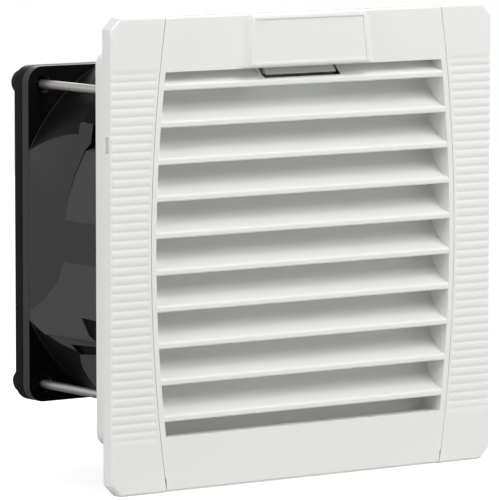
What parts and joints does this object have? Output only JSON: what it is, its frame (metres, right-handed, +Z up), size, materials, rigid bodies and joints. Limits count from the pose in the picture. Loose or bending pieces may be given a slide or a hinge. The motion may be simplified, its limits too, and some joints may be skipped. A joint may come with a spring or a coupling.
{
  "type": "cabinet filter fan",
  "caption": "Square louvred filter frame for a cabinet door cut-out, with a hinged cover, a filter mat and a compact fan screwed on behind.",
  "frame": {"origin": "middle of the square cut-out, on the outer face of the door panel that the flange rests on", "axes": "+X to the right and +Z up as seen from the front; +Y into the cabinet, along the fan's axis"},
  "size_m": [0.109, 0.0698, 0.109],
  "materials": {
    "light_grey_plastic": "fine satin, light grey",
    "black_plastic": "satin black",
    "grey_foam": "closed-cell foam",
    "white_fibre": "bonded polyester fibre",
    "zinc_plated_steel": "zinc plated",
    "laminated_iron": "dull dark steel",
    "enamelled_copper": "enamelled winding wire",
    "tinned_brass": "tinned"
  },
  "bodies": {
    "base": {"base_frame": "light_grey_plastic", "bearing_spring": "zinc_plated_steel", "fan_frame": "black_plastic", "fan_screw_bottom_left": "zinc_plated_steel", "fan_screw_bottom_right": "zinc_plated_steel", "fan_screw_top_left": "zinc_plated_steel", "fan_screw_top_right": "zinc_plated_steel", "filter_mat": "white_fibre", "front_bearing": "zinc_plated_steel", "inlet_guard": "light_grey_plastic", "motor_cap": "black_plastic", "panel_gasket": "grey_foam", "rear_bearing": "zinc_plated_steel", "rear_guard": "black_plastic", "stator_coil_1": "enamelled_copper", "stator_coil_2": "enamelled_copper", "stator_coil_3": "enamelled_copper", "stator_coil_4": "enamelled_copper", "stator_core": "laminated_iron", "terminal_pin_lower": "tinned_brass", "terminal_pin_upper": "tinned_brass"},
    "cover": {"louvre_cover": "light_grey_plastic"},
    "latch": {"cover_latch": "light_grey_plastic"},
    "rotor": {"impeller": "black_plastic", "rotor_cup": "laminated_iron", "rotor_shaft": "zinc_plated_steel", "retaining_ring": "zinc_plated_steel"},
    "clip_top_left": {"panel_clip_top_left": "light_grey_plastic"},
    "clip_top_right": {"panel_clip_top_right": "light_grey_plastic"},
    "clip_bottom_left": {"panel_clip_bottom_left": "light_grey_plastic"},
    "clip_bottom_right": {"panel_clip_bottom_right": "light_grey_plastic"}
  },
  "joints": [
    {"name": "cover_hinge", "type": "hinge", "parent": "base", "child": "cover", "pos_m": [0, -0.0025, -0.05325], "axis": [1, 0, 0], "range_deg": [0, 90]},
    {"name": "latch_release", "type": "hinge", "parent": "cover", "child": "latch", "pos_m": [0, -0.0015, 0.0428], "axis": [-1, 0, 0], "range_deg": [0, 8], "stiffness_Nm_per_rad": 0.03},
    {"name": "rotor_spin", "type": "hinge", "parent": "base", "child": "rotor", "pos_m": [0, 0.0366, 0], "axis": [0, 1, 0], "continuous": true},
    {"name": "clip_top_left_bend", "type": "hinge", "parent": "base", "child": "clip_top_left", "pos_m": [-0.0447, 0.0123, 0.032], "axis": [0, 0, 1], "range_deg": [0, 9], "stiffness_Nm_per_rad": 0.08},
    {"name": "clip_top_right_bend", "type": "hinge", "parent": "base", "child": "clip_top_right", "pos_m": [0.0447, 0.0123, 0.032], "axis": [0, 0, -1], "range_deg": [0, 9], "stiffness_Nm_per_rad": 0.08},
    {"name": "clip_bottom_left_bend", "type": "hinge", "parent": "base", "child": "clip_bottom_left", "pos_m": [-0.0447, 0.0123, -0.032], "axis": [0, 0, 1], "range_deg": [0, 9], "stiffness_Nm_per_rad": 0.08},
    {"name": "clip_bottom_right_bend", "type": "hinge", "parent": "base", "child": "clip_bottom_right", "pos_m": [0.0447, 0.0123, -0.032], "axis": [0, 0, -1], "range_deg": [0, 9], "stiffness_Nm_per_rad": 0.08}
  ]
}
